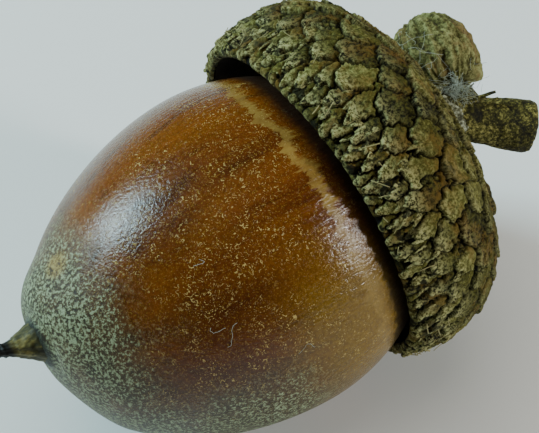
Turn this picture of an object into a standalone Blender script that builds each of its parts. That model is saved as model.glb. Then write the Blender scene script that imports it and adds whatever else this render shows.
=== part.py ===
"""An acorn lying on its side: a nut, its scaly cup, the cut stalk, and an undeveloped second acorn.

Units are metres and +Z is up. The tip of the nut points along -X, the stalk leaves along +X.
Each turned piece is modelled upright in its own frame, with +Z running from the tip of the nut
towards the stalk, and is then laid down by its object's rotation and location.
"""

import math
import random

import bmesh
import bpy
from mathutils import Matrix, Vector

MM = 0.001
FULL_TURN = 2 * math.pi
GOLDEN_ANGLE = math.pi * (3 - math.sqrt(5))
CLEARANCE = 0.3 * MM
WELD = 0.001 * MM

# The nut: an egg with a rounded nose at the front and a flat scar at the back.
NUT_RADIUS = 9.5 * MM
NUT_FRONT = 13.35 * MM
NUT_BACK = 10.4 * MM
NUT_NOSE_POWER = 1.88
NUT_SCAR_RADIUS = 4.6 * MM
NUT_STEPS = 56
NUT_FRONT_RINGS = 17
NUT_BACK_RINGS = 11
NUT_DIP = math.radians(1.8)
NUT_PLACE = Vector((-1.95, 0.05, 0)) * MM

# The nose sags a little before its end and then lifts to the beak, which leans the same way.
NOSE_SHIFT = Vector((-0.8, 0.32, 0)) * MM
NOSE_SAG = 0.3
NOSE_SAG_ENDS = 0.7
NOSE_LIFT_STARTS = 0.78
BEAK_LENGTH = 2.35 * MM
BEAK_RADIUS = 1.2 * MM
BEAK_END_RADIUS = 0.36 * MM
BEAK_FLARE_POWER = 1.7
BEAK_RINGS = (0.0, 0.12, 0.28, 0.5, 0.72, 0.8, 0.9, 1.0)
BEAK_KNOB_RING = 0.8
BEAK_KNOB = 1.18
BEAK_BEDDING = 0.25 * MM
BEAK_TIP_ROUNDING = 0.15 * MM
BEAK_LEAN = Vector((-0.22, 0.15, 0))
BEAK_LEAN_STARTS = 0.6 * MM
NOSE_END_RADIUS = 1.35 * BEAK_RADIUS

# The cup: a deep bowl with a turned-in lip, measured over its scales.
CUP_RADIUS = 10.8 * MM
CUP_HEIGHT = 8.85 * MM
CUP_LIP_RADIUS = 10.02 * MM
CUP_LIP_POWER = 1.7
CUP_BELLY = 2.8 * MM
CUP_DOME_POWER = 2.6
CUP_BORE_RADIUS = 9.6 * MM
CUP_MOUTH_RADIUS = 9.42 * MM
CUP_DEPTH = 6.0 * MM
CUP_BORE_POWER = 2.5
CUP_STEPS = 40
CUP_DOME_RINGS = 7
CUP_FLANK_RINGS = 3
CUP_BORE_RINGS = 9
CUP_DIP = math.radians(9.3)
CUP_PLACE = Vector((2.2, 0.55, 0)) * MM
BOSS_RADIUS = 1.75 * MM
BOSS_HEIGHT = 0.7 * MM
BOSS_FLARE = 1.15

# The cup's scales: smaller at the lip and by the stalk, broad on the flank.
SCALE_RISE = 0.5 * MM
SCALE_LIP_RISE = 0.55
SCALE_AREA_TOP = 2.4 * MM * MM
SCALE_AREA_FLANK = 3.2 * MM * MM
SCALE_AREA_LIP = 2.0 * MM * MM
SCALE_FLANK_STARTS = 0.3
SCALE_LIP_STARTS = 0.62
SCALE_OVERLAP = 1.55
SCALE_SPREAD = 1.2
SCALE_SIDES = 6
SCALE_BED = 0.3 * MM
SCALE_ROOT_SHARE = 0.1
SCALE_TIP_SHARE = 0.8
SCALE_REACH = 0.75 * MM
SCALE_TWIST = math.radians(9)
SCALES_START_RADIUS = 1.5 * BOSS_RADIUS

# The stalk: a bent stub with two small bracts, cut off at its far end, and the spur of the second acorn.
STALK_REACH = Vector((5.0, -2.75, -1.2)) * MM
STALK_RADII = (1.7 * MM, 1.4 * MM, 1.2 * MM, 1.3 * MM, 1.5 * MM)
STALK_KNEE = 1.5 * MM
STALK_START = 0.3
STALK_SHARES = (0.45, 0.75, 1.0)
SPUR_RADIUS = 0.95 * MM
SPUR_LENGTH = 1.6 * MM
SPUR_FLARE = 1.2
PEG_SIDES = 12
BRACT_LENGTH = 2.1 * MM
BRACT_RADIUS = 0.32 * MM
BRACT_TIP = 0.35
BRACT_SIDES = 6
BRACT_LEANS = (Vector((0.1, 0.1, 0.35)), Vector((0.0, 0.45, 0.2)))
BRACT_SPREAD = 0.6

# The undeveloped acorn: a closed bud on a short neck.
BUD_RADIUS = 2.42 * MM
BUD_HEIGHT = 4.7 * MM
BUD_NECK_RADIUS = 0.95 * MM
BUD_WIDEST = 0.45
BUD_TOP_POWER = 2.2
BUD_NECK_REACH = 1.22
BUD_PLACE = Vector((13.65, 3.85, 12.9)) * MM
BUD_AXIS = Vector((0.1, 0.93, 0.35))
BUD_STEPS = 20
BUD_RINGS = 9
BUD_SCALE_AREA = 1.05 * MM * MM
BUD_SCALE_RISE = 0.28 * MM
BUD_SCALE_SHAPE = 0.85
BUD_SCALE_OVERLAP = 1.9
BUD_SCALES_START = 0.25

# How far the nut and the cup are worn flat where they lie.
NUT_FLAT = 0.07 * MM
CUP_FLAT = 0.12 * MM
GROUND_SIZE = 80 * MM
CREASE = math.radians(35)


def clear_scene():
    for obj in list(bpy.data.objects):
        bpy.data.objects.remove(obj, do_unlink=True)


def collection(name):
    made = bpy.data.collections.new(name)
    bpy.context.scene.collection.children.link(made)
    return made


def material(name, colour, roughness):
    made = bpy.data.materials.new(name)
    made.use_nodes = True
    shader = made.node_tree.nodes["Principled BSDF"]
    shader.inputs["Base Color"].default_value = (*colour, 1)
    shader.inputs["Roughness"].default_value = roughness
    shader.inputs["Metallic"].default_value = 0
    return made


def mesh_of(name, work):
    """A new mesh from a working mesh, which is then freed."""
    mesh = bpy.data.meshes.new(name)
    work.to_mesh(mesh)
    work.free()
    return mesh


def add_object(name, mesh, home):
    obj = bpy.data.objects.new(name, mesh)
    home.objects.link(obj)
    return obj


def evaluated_mesh(obj):
    """A new mesh of the object with its modifiers applied."""
    graph = bpy.context.evaluated_depsgraph_get()
    graph.update()
    return bpy.data.meshes.new_from_object(obj.evaluated_get(graph))


def welded(mesh):
    """The same mesh with the points that lie on one another made one."""
    work = bmesh.new()
    work.from_mesh(mesh)
    bmesh.ops.remove_doubles(work, verts=work.verts, dist=WELD)
    work.to_mesh(mesh)
    work.free()
    return mesh


def turned(name, profile, steps, home):
    """A solid of revolution about Z from (radius, height) points, listed from the top down the outside."""
    work = bmesh.new()
    verts = [work.verts.new((radius, 0, height)) for radius, height in profile]
    for upper, lower in zip(verts, verts[1:]):
        work.edges.new((upper, lower))
    guide = add_object(name, mesh_of(name, work), home)
    screw = guide.modifiers.new("turn", "SCREW")
    screw.steps = steps
    screw.render_steps = steps
    solid = welded(evaluated_mesh(guide))
    guide.modifiers.clear()
    guide.data = solid
    return guide


def superellipse(share, power):
    """The half width, 1 at share 0 and 0 at share 1."""
    return max(0.0, 1 - abs(share) ** power) ** (1 / power)


def eased(count, bias=1.5):
    """count + 1 shares from 0 to 1, closer together towards 1."""
    return [1 - (1 - k / count) ** bias for k in range(count + 1)]


def smooth(x):
    x = min(1.0, max(0.0, x))
    return x * x * (3 - 2 * x)


def nut_profile():
    """From the scar at the back, over the belly, to the end of the beak."""
    scar_share = math.sqrt(1 - (NUT_SCAR_RADIUS / NUT_RADIUS) ** 2)
    points = [(0, scar_share * NUT_BACK)]
    for share in reversed(eased(NUT_BACK_RINGS)):
        height = share * scar_share
        points.append((NUT_RADIUS * superellipse(height, 2), height * NUT_BACK))
    for share in eased(NUT_FRONT_RINGS)[1:]:
        radius = NUT_RADIUS * superellipse(share, NUT_NOSE_POWER)
        if radius > NOSE_END_RADIUS:
            points.append((radius, -share * NUT_FRONT))
    start = BEAK_BEDDING - NUT_FRONT
    for share in BEAK_RINGS:
        flare = (1 - share) ** BEAK_FLARE_POWER
        radius = BEAK_END_RADIUS + (BEAK_RADIUS - BEAK_END_RADIUS) * flare
        if share == BEAK_KNOB_RING:
            radius *= BEAK_KNOB
        points.append((radius, start - share * BEAK_LENGTH))
    points.append((0, start - BEAK_LENGTH - BEAK_TIP_ROUNDING))
    return points


def make_nut(home, look):
    nut = turned("nut", nut_profile(), NUT_STEPS, home)
    for vert in nut.data.vertices:
        share = max(0.0, -vert.co.z / NUT_FRONT)
        sag = NOSE_SAG * smooth(share / NOSE_SAG_ENDS)
        lift = smooth((share - NOSE_LIFT_STARTS) / (1 - NOSE_LIFT_STARTS)) * (1 + NOSE_SAG)
        beyond = max(0.0, BEAK_LEAN_STARTS - vert.co.z - NUT_FRONT)
        vert.co += NOSE_SHIFT * (lift - sag) + BEAK_LEAN * beyond
    finish(nut, look)
    lay_down(nut, NUT_PLACE, NUT_DIP)
    return nut


def cup_outline(height):
    """The cup's radius over its scales, by height above the plane of the lip."""
    if height < CUP_BELLY:
        drop = (CUP_BELLY - height) / CUP_BELLY
        return CUP_RADIUS - (CUP_RADIUS - CUP_LIP_RADIUS) * drop ** CUP_LIP_POWER
    return CUP_RADIUS * superellipse((height - CUP_BELLY) / (CUP_HEIGHT - CUP_BELLY), CUP_DOME_POWER)


def cup_bore(height):
    """The radius of the cup's inside."""
    if height < CUP_BELLY:
        return CUP_MOUTH_RADIUS + (CUP_BORE_RADIUS - CUP_MOUTH_RADIUS) * smooth(height / CUP_BELLY)
    return CUP_BORE_RADIUS * superellipse((height - CUP_BELLY) / (CUP_DEPTH - CUP_BELLY), CUP_BORE_POWER)


def cup_rise(height):
    """How far the scales stand out of the cup's wall: less at the lip, where the wall is thin."""
    return SCALE_RISE * (SCALE_LIP_RISE + (1 - SCALE_LIP_RISE) * smooth(height / CUP_BELLY))


def cup_profile():
    """The cup's wall under its scales: boss, dome, flank and lip, and back through the inside."""
    dome = [CUP_BELLY + (CUP_HEIGHT - CUP_BELLY) * share for share in eased(CUP_DOME_RINGS, 2.0)]
    flank = [CUP_BELLY * share for share in eased(CUP_FLANK_RINGS, 1.3)]
    outer = []
    for height in flank[:-1] + dome[:-1]:
        level = height - SCALE_RISE * smooth((height - CUP_BELLY) / (CUP_HEIGHT - CUP_BELLY))
        outer.append((cup_outline(height) - cup_rise(height), level))
    boss = CUP_HEIGHT - CLEARANCE + BOSS_HEIGHT
    top = [(0, boss), (BOSS_RADIUS * 0.9, boss), (BOSS_RADIUS, boss - BOSS_HEIGHT / 2)]
    top.append((BOSS_RADIUS * BOSS_FLARE, CUP_HEIGHT - 2 * CLEARANCE))
    inner = [(cup_bore(CUP_DEPTH * share), CUP_DEPTH * share) for share in eased(CUP_BORE_RINGS, 1.8)]
    inner[-1] = (0, CUP_DEPTH)
    return top + outer[::-1] + inner


def outline_points(outline, low, high, count=240):
    """(radius, height, length so far) along an outline, from its top down."""
    points = []
    length = 0.0
    for k in range(count + 1):
        height = high + (low - high) * k / count
        radius = outline(height)
        if points:
            length += math.hypot(radius - points[-1][0], height - points[-1][1])
        points.append((radius, height, length))
    return points


def spiral_places(points, area_at):
    """Places on a turned surface, each with its own area, a golden angle apart: (index, angle, size)."""
    places = []
    owed = 0.0
    total = points[-1][2] - points[0][2]
    for k in range(1, len(points)):
        radius, _, length = points[k]
        area = area_at((length - points[0][2]) / total)
        owed += FULL_TURN * radius * (length - points[k - 1][2]) / area
        while owed >= 1:
            owed -= 1
            places.append((k, len(places) * GOLDEN_ANGLE, math.sqrt(area)))
    return places


def scale_mesh(width, length, rise):
    """One scale: a six-sided plate, thin at its root and thick at its blunt tip, which points along +Y."""
    work = bmesh.new()
    bmesh.ops.create_cone(work, segments=SCALE_SIDES, radius1=0.5, radius2=0.5, depth=1, cap_ends=True)
    top = max(work.faces, key=lambda face: face.calc_center_median().z)
    crown = bmesh.ops.poke(work, faces=[top])["verts"]
    for vert in work.verts:
        along = vert.co.y + 0.5
        level = -SCALE_BED
        if vert in crown:
            level = rise * SCALE_TIP_SHARE
        elif vert.co.z > 0:
            level = rise * (SCALE_ROOT_SHARE + (SCALE_TIP_SHARE - SCALE_ROOT_SHARE) * along)
        vert.co = Vector((vert.co.x * width * SCALE_SPREAD, vert.co.y * length, level))
    return mesh_of("scale", work)


def surface_frame(points, k, angle):
    """The matrix at a place on a turned surface: X runs round it, Y down it and Z out of it."""
    before = points[max(0, k - 2)]
    here = points[k]
    after = points[min(len(points) - 1, k + 2)]
    slope = Vector((after[0] - before[0], 0, after[1] - before[1])).normalized()
    outward = Vector((-slope.z, 0, slope.x))
    local = Matrix((slope.cross(outward), slope, outward)).transposed().to_4x4()
    local.translation = Vector((here[0], 0, here[1]))
    return Matrix.Rotation(angle, 4, "Z") @ local


def add_scales(body, points, area_at, rise_at, seed, shape=1.0, overlap=SCALE_OVERLAP, heading=0.0):
    """Grows scales on a turned body and joins them to it with one Boolean union."""
    rng = random.Random(seed)
    scales = collection(body.name + "_scales")
    for k, angle, size in spiral_places(points, area_at):
        sink = rise_at(points[k][1])
        rise = sink * rng.uniform(0.85, 1.15)
        width = size * shape * rng.uniform(0.95, 1.1)
        length = size / shape * overlap * rng.uniform(0.95, 1.05)
        scale = add_object("scale", scale_mesh(width, length, rise), scales)
        turn = Matrix.Rotation(heading + rng.uniform(-SCALE_TWIST, SCALE_TWIST), 4, "Z")
        scale.matrix_world = surface_frame(points, k, angle) @ Matrix.Translation((0, 0, -sink)) @ turn
    join(body, scales)


def join(body, pieces):
    """Unites a body with every object of a collection, which is then emptied."""
    bpy.context.view_layer.update()
    union = body.modifiers.new("join", "BOOLEAN")
    union.operation = "UNION"
    union.operand_type = "COLLECTION"
    union.collection = pieces
    union.solver = "MANIFOLD"
    body.data = evaluated_mesh(body)
    body.modifiers.clear()
    drop_scraps(body.data)
    for piece in list(pieces.objects):
        bpy.data.objects.remove(piece, do_unlink=True)
    bpy.data.collections.remove(pieces)


def drop_scraps(mesh):
    """Keeps the largest closed surface of a mesh: sealed hollows and loose scraps go."""
    work = bmesh.new()
    work.from_mesh(mesh)
    waiting = set(work.verts)
    shells = []
    while waiting:
        shell = []
        frontier = [waiting.pop()]
        while frontier:
            vert = frontier.pop()
            shell.append(vert)
            near = {edge.other_vert(vert) for edge in vert.link_edges} & waiting
            waiting -= near
            frontier.extend(near)
        shells.append(shell)
    shells.sort(key=len)
    for shell in shells[:-1]:
        bmesh.ops.delete(work, geom=shell, context="VERTS")
    work.to_mesh(mesh)
    work.free()


def cup_scale_area(share):
    """The area of one scale, by the share of the way from the stalk to the lip."""
    flank = SCALE_AREA_TOP + (SCALE_AREA_FLANK - SCALE_AREA_TOP) * smooth(share / SCALE_FLANK_STARTS)
    return flank + (SCALE_AREA_LIP - flank) * smooth((share - SCALE_LIP_STARTS) / SCALE_FLANK_STARTS)


def make_cup(home, look):
    cup = turned("cup", cup_profile(), CUP_STEPS, home)
    outline = outline_points(cup_outline, SCALE_REACH, CUP_HEIGHT)
    points = [point for point in outline if point[0] > SCALES_START_RADIUS]
    add_scales(cup, points, cup_scale_area, cup_rise, seed=11)
    finish(cup, look)
    lay_down(cup, CUP_PLACE, CUP_DIP)
    return cup


def bud_outline(height):
    """The bud's radius by height above its neck."""
    share = (height / BUD_HEIGHT - BUD_WIDEST) / (1 - BUD_WIDEST)
    if share > 0:
        return BUD_RADIUS * superellipse(share, BUD_TOP_POWER)
    neck = superellipse(share * BUD_NECK_REACH, 2)
    return BUD_NECK_RADIUS + (BUD_RADIUS - BUD_NECK_RADIUS) * neck


def make_young_acorn(home, look, seat):
    """The bud stands over its seat on the stalk's spur, with its neck towards it."""
    shares = eased(BUD_RINGS)[1:-1]
    tall = BUD_HEIGHT - BUD_SCALE_RISE
    rings = [(bud_outline(BUD_HEIGHT * k) - BUD_SCALE_RISE, tall * k) for k in shares]
    neck = BUD_NECK_RADIUS - BUD_SCALE_RISE / 2
    profile = [(0, tall)] + rings[::-1] + [(neck, 0), (0, 0)]
    bud = turned("young_acorn", profile, BUD_STEPS, home)
    points = outline_points(bud_outline, BUD_SCALES_START * BUD_HEIGHT, BUD_HEIGHT)
    add_scales(
        bud, points, lambda share: BUD_SCALE_AREA, lambda height: BUD_SCALE_RISE, seed=5,
        shape=BUD_SCALE_SHAPE, overlap=BUD_SCALE_OVERLAP, heading=math.pi,
    )
    finish(bud, look)
    bud.rotation_mode = "QUATERNION"
    bud.rotation_quaternion = BUD_AXIS.to_track_quat("Z", "Y")
    bud.location = seat
    return bud


def stalk_points(root, leave):
    """The stalk's centre line: out of the cup along its axis, then over to the cut end."""
    end = root + STALK_REACH
    knee = root + leave * STALK_KNEE
    points = [root, root + leave * STALK_START * STALK_KNEE]
    for t in STALK_SHARES:
        points.append(root * (1 - t) ** 2 + knee * 2 * t * (1 - t) + end * t * t)
    return points


def stalk_mesh(points, home):
    """A round bar along the points, with its radius varying from one to the next."""
    curve = bpy.data.curves.new("stalk", "CURVE")
    curve.dimensions = "3D"
    curve.bevel_depth = 1.0
    curve.bevel_resolution = 3
    curve.use_fill_caps = True
    curve.resolution_u = 3
    line = curve.splines.new("NURBS")
    line.points.add(len(points) - 1)
    for point, place, radius in zip(line.points, points, STALK_RADII):
        point.co = (*place, 1)
        point.radius = radius
    line.use_endpoint_u = True
    line.order_u = 4
    guide = add_object("stalk_line", curve, home)
    mesh = welded(evaluated_mesh(guide))
    bpy.data.objects.remove(guide, do_unlink=True)
    return mesh


def make_stalk(home, look, root, leave, seat):
    """The stub with its bracts, and the spur that the second acorn sits on."""
    points = stalk_points(root, leave)
    stalk = add_object("stalk", stalk_mesh(points, home), home)
    growths = collection("stalk_growths")
    away = BUD_AXIS.normalized()
    base = seat - away * SPUR_LENGTH
    add_peg(growths, base, seat - away * CLEARANCE, SPUR_RADIUS * SPUR_FLARE, SPUR_RADIUS)
    along = (points[4] - points[2]).normalized()
    for lean in BRACT_LEANS:
        start = points[2] + lean.normalized() * STALK_RADII[2] * 0.8
        tip = start + (along + lean * BRACT_SPREAD).normalized() * BRACT_LENGTH
        add_peg(growths, start, tip, BRACT_RADIUS, BRACT_RADIUS * BRACT_TIP, BRACT_SIDES)
    join(stalk, growths)
    finish(stalk, look)
    return stalk


def add_peg(home, start, end, start_radius, end_radius, sides=PEG_SIDES):
    """A tapered round peg between two points."""
    reach = end - start
    work = bmesh.new()
    bmesh.ops.create_cone(
        work, segments=sides, radius1=start_radius, radius2=end_radius, depth=reach.length, cap_ends=True,
    )
    peg = add_object("peg", mesh_of("peg", work), home)
    turn = reach.to_track_quat("Z", "Y").to_matrix().to_4x4()
    peg.matrix_world = Matrix.Translation((start + end) / 2) @ turn


def finish(obj, look):
    obj.data.materials.clear()
    obj.data.materials.append(look)
    obj.data.shade_smooth()
    obj.data.set_sharp_from_angle(angle=CREASE)


def axis_of(dip):
    return Vector((math.cos(dip), 0, math.sin(dip)))


def lay_down(obj, place, dip):
    """Turns a piece's own +Z towards +X, rising by the dip, with its middle at its place."""
    obj.rotation_euler = (0, math.pi / 2 - dip, 0)
    obj.location = place


def world_corners(obj):
    """The low and high corners of the object's box, with its modifiers applied."""
    bpy.context.view_layer.update()
    shown = obj.evaluated_get(bpy.context.evaluated_depsgraph_get())
    places = [shown.matrix_world @ vert.co for vert in shown.data.vertices]
    low = Vector(min(place[k] for place in places) for k in range(3))
    high = Vector(max(place[k] for place in places) for k in range(3))
    return low, high


def rest(obj, flat, ground):
    """Sets a piece down so that its lowest side goes a little into the ground, which cuts it flat."""
    low, _ = world_corners(obj)
    obj.location.z -= low.z + flat
    cut = obj.modifiers.new("flat", "BOOLEAN")
    cut.operation = "DIFFERENCE"
    cut.object = ground


def make_ground(home):
    work = bmesh.new()
    bmesh.ops.create_cube(work, size=GROUND_SIZE)
    ground = add_object("ground", mesh_of("ground", work), home)
    ground.location = (0, 0, -GROUND_SIZE / 2)
    ground.hide_render = True
    ground.display_type = "WIRE"
    return ground


def centre(pieces, home):
    """Parents the pieces to one empty and moves it so that their box is centred over the origin."""
    base = add_object("acorn_base", None, home)
    corners = [world_corners(piece) for piece in pieces]
    for piece in pieces:
        piece.parent = base
    low = [min(pair[0][k] for pair in corners) for k in range(2)]
    high = [max(pair[1][k] for pair in corners) for k in range(2)]
    base.location = (-(low[0] + high[0]) / 2, -(low[1] + high[1]) / 2, 0)


def main():
    clear_scene()
    parts = collection("acorn")
    shell = material("nut_shell", (0.20, 0.075, 0.02), 0.35)
    scales = material("cup_scales", (0.20, 0.17, 0.085), 0.9)
    bark = material("stalk_bark", (0.17, 0.14, 0.06), 0.85)
    down = material("young_scales", (0.24, 0.21, 0.12), 0.95)
    ground = make_ground(collection("cutters"))

    nut = make_nut(parts, shell)
    rest(nut, NUT_FLAT, ground)
    cup = make_cup(parts, scales)
    rest(cup, CUP_FLAT, ground)

    leave = axis_of(CUP_DIP)
    root = cup.location + leave * (CUP_HEIGHT + BOSS_HEIGHT)
    seat = BUD_PLACE - BUD_AXIS.normalized() * BUD_WIDEST * BUD_HEIGHT
    stalk = make_stalk(parts, bark, root, leave, seat)
    young = make_young_acorn(parts, down, seat)
    centre([nut, cup, stalk, young], parts)


main()
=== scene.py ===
"""How the acorn looks: its glossy nut, scaly cup, cut stalk and undeveloped second acorn."""

import math
import random

import bmesh
import bpy
import numpy as np
from mathutils import Matrix, Vector, noise


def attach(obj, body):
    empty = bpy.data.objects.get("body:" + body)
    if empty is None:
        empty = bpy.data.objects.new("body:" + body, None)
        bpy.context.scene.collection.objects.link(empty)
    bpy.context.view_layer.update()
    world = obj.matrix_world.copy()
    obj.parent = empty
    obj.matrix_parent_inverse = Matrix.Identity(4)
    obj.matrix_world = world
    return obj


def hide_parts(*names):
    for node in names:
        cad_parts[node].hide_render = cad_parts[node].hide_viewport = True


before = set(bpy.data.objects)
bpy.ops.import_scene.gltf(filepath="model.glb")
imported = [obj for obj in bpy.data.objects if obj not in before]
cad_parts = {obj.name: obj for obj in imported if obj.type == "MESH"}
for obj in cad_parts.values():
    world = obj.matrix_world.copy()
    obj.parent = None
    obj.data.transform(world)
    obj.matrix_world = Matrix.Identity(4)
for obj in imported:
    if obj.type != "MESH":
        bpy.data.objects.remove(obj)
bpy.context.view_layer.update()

# Without a seed, noise_vector takes its offsets from the clock.
NOISE_SEED = 1
noise.seed_set(NOISE_SEED)

MM = 0.001
FULL_TURN = 2 * math.pi
GOLDEN_ANGLE = math.pi * (3 - math.sqrt(5))

# Where the pieces lie, as in the part: each one's own +Z runs from the tip of the nut to the stalk.
NUT_PLACE = Vector((-1.937, -0.530, 9.425)) * MM
NUT_DIP = math.radians(1.8)
CUP_PLACE = Vector((2.213, -0.030, 10.102)) * MM
CUP_DIP = math.radians(9.3)
BUD_SEAT = Vector((13.4515, 1.3006, 12.1588)) * MM
BUD_AXIS = Vector((0.1, 0.93, 0.35)).normalized()

# The nut.
NUT_RADIUS = 9.5 * MM
NUT_FRONT = 13.35 * MM
NUT_BACK = 10.4 * MM
NUT_NOSE_POWER = 1.88
NUT_SCAR_RADIUS = 4.6 * MM
NOSE_SHIFT = Vector((-0.8, 0.32, 0)) * MM
NOSE_SAG = 0.3
NOSE_SAG_ENDS = 0.7
NOSE_LIFT_STARTS = 0.78
BEAK_LENGTH = 2.35 * MM
BEAK_RADIUS = 1.2 * MM
BEAK_END_RADIUS = 0.36 * MM
BEAK_LEAN = Vector((-0.22, 0.15, 0))
BEAK_LEAN_STARTS = 0.6 * MM
# In millimetres, in the nut's own frame.
STAIN_PLACE = (-5.05, 1.5, -11.05)
# The fibres that cling to it: angle in degrees, place along it, turn and length in millimetres.
NUT_HAIRS = (
    (-125, -6.2, 0.9, 0.7),
    (-121, -5.6, -0.7, 1.4),
    (-105, -2.2, 0.2, 0.9),
    (-149, -5.6, 2.2, 0.4),
)
HAIR_RADIUS = 0.010 * MM
HAIR_POINTS = 12

# The cup.
CUP_RADIUS = 10.8 * MM
CUP_HEIGHT = 8.85 * MM
CUP_LIP_RADIUS = 10.02 * MM
CUP_LIP_POWER = 1.7
CUP_BELLY = 2.8 * MM
CUP_DOME_POWER = 2.6
CUP_BORE_RADIUS = 9.6 * MM
CUP_MOUTH_RADIUS = 9.42 * MM
CUP_DEPTH = 6.0 * MM
CUP_BORE_POWER = 2.5
BOSS_RADIUS = 1.75 * MM
BOSS_HEIGHT = 0.7 * MM
LIP_WEAR = 0.42 * MM
LIP_WHOLE_ANGLE = math.radians(118)
LIP_WHOLE_GAIN = 0.5
CUP_SPACING = 0.082 * MM
CUP_STEPS = 820
CUP_BANDS_MEET = 0.53
CUP_GRIT = 0.085 * MM
MERGE_REACH = 0.0005 * MM

# The scales. The shares run from 0 at the stalk to 1 at the inner edge of the lip.
SCALE_SEED = 3
SCALE_PITCH_TOP = 1.20 * MM
SCALE_PITCH_FLANK = 1.86 * MM
SCALE_PITCH_LIP = 1.00 * MM
SCALE_FLANK_STARTS = 0.3
SCALE_LIP_STARTS = 0.62
SCALE_LIP_ENDS = 0.9
WAVE_COUNT = 7
SPLINTER_SEED = 23
SPLINTER_COUNT = 420
FIBRE_SEED = 31
FIBRE_COUNT = 64
FIBRE_POINTS = 5

# The stalk. Its radii are in millimetres, by the share of the way along it.
STALK_REACH = Vector((5.0, -2.75, -1.2)) * MM
STALK_KNEE = 0.9 * MM
STALK_KNEE_SAG = Vector((0, 0, 0.3)) * MM
STALK_CUT = 0.965
STALK_SHARES = (0, 0.12, 0.35, 0.6, 0.86, 0.945, STALK_CUT)
STALK_RADII = (1.75, 1.48, 1.26, 1.34, 1.55, 1.55, 1.44)
SPUR_LENGTH = 1.7 * MM
SPUR_STEP = 0.3 * MM
SPUR_RADII = (1.2, 1.15, 1.1, 1.05, 1.0, 0.95)
# Start, tip and radius in millimetres.
STALK_TWIGS = (
    ((12.5, -0.05, 12.60), (14.62, -1.16, 13.10), 0.19),
    ((12.8, -0.60, 12.40), (14.60, -1.46, 12.86), 0.16),
    ((13.0, 0.20, 12.70), (13.75, -0.20, 13.45), 0.10),
)

# The torn skin round the root of the stalk: radius and height in millimetres.
COLLAR_OUTLINE = (
    (3.05, -0.10), (2.60, 0.14), (2.18, 0.45), (1.98, 0.85), (1.90, 1.25),
    (1.80, 1.25), (1.85, 0.8), (2.10, 0.38), (2.55, 0.05), (3.05, -0.2), (3.05, -0.10),
)

# The bud.
BUD_RADIUS = 2.42 * MM
BUD_HEIGHT = 4.7 * MM
BUD_NECK_RADIUS = 0.95 * MM
BUD_WIDEST = 0.45
BUD_KNOB = Vector((15.2, 1.25, 12.35)) * MM
BUD_KNOB_SIZE = 0.6 * MM

# The cobweb.
WEB_SEED = 8
WEB_THREADS = 56
WEB_REACH = 2.4 * MM
TUFT_THREADS = 300
TUFT_PLACE = Vector((12.75, 0.05, 13.05)) * MM
SEAT_THREADS = 110
THREAD_POINTS = 7
THREAD_SIDES = 3

# The studio.
FLOOR_REACH = 0.6
LAMPS_MIDDLE = Vector((0, 0, 9)) * MM
CAMERA_ASIDE = Vector((0.832, -0.555, 0)) * -0.07 * MM
CAMERA_PLACE = Vector((-40.184, -60.153, 91.303)) * MM + CAMERA_ASIDE
CAMERA_TARGET = Vector((0.514, 0.875, 9.332)) * MM + CAMERA_ASIDE
CAMERA_LENS = 129.95


def smooth(x):
    """0 below 0, 1 above 1 and a soft step between them, for one number."""
    x = min(1.0, max(0.0, x))
    return x * x * (3 - 2 * x)


def eased(low, high, x):
    """0 below low, 1 above high and a soft step between them, for numbers and arrays."""
    t = np.clip((x - low) / (high - low), 0, 1)
    return t * t * (3 - 2 * t)


def superellipse(share, power):
    """The height of a rounded outline, 1 at share 0 and 0 at share 1."""
    return max(0.0, 1 - abs(share) ** power) ** (1 / power)


def laid(place, dip):
    """The matrix that lays a piece down: its own +Z goes to +X, rising by the dip."""
    return Matrix.Translation(place) @ Matrix.Rotation(math.pi / 2 - dip, 4, "Y")


NUT_LAID = laid(NUT_PLACE, NUT_DIP)
CUP_LAID = laid(CUP_PLACE, CUP_DIP)
CUP_AXIS = Vector((math.cos(CUP_DIP), 0, math.sin(CUP_DIP)))


# Materials.

class Socket:
    """A shader value that can be used in sums."""

    def __init__(self, look, link):
        self.look = look
        self.link = link

    def math(self, operation, other, swap=False):
        first, second = (other, self) if swap else (self, other)
        return self.look.node("ShaderNodeMath", {"operation": operation}, {0: first, 1: second})

    def __add__(self, other):
        return self.math("ADD", other)

    def __sub__(self, other):
        return self.math("SUBTRACT", other)

    def __mul__(self, other):
        return self.math("MULTIPLY", other)

    def __truediv__(self, other):
        return self.math("DIVIDE", other)

    def __radd__(self, other):
        return self.math("ADD", other, swap=True)

    def __rsub__(self, other):
        return self.math("SUBTRACT", other, swap=True)

    def __rmul__(self, other):
        return self.math("MULTIPLY", other, swap=True)

    def __rtruediv__(self, other):
        return self.math("DIVIDE", other, swap=True)

    def __pow__(self, other):
        return self.math("POWER", other)

    def at_least(self, other):
        return self.math("MAXIMUM", other)

    def at_most(self, other):
        return self.math("MINIMUM", other)


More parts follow.
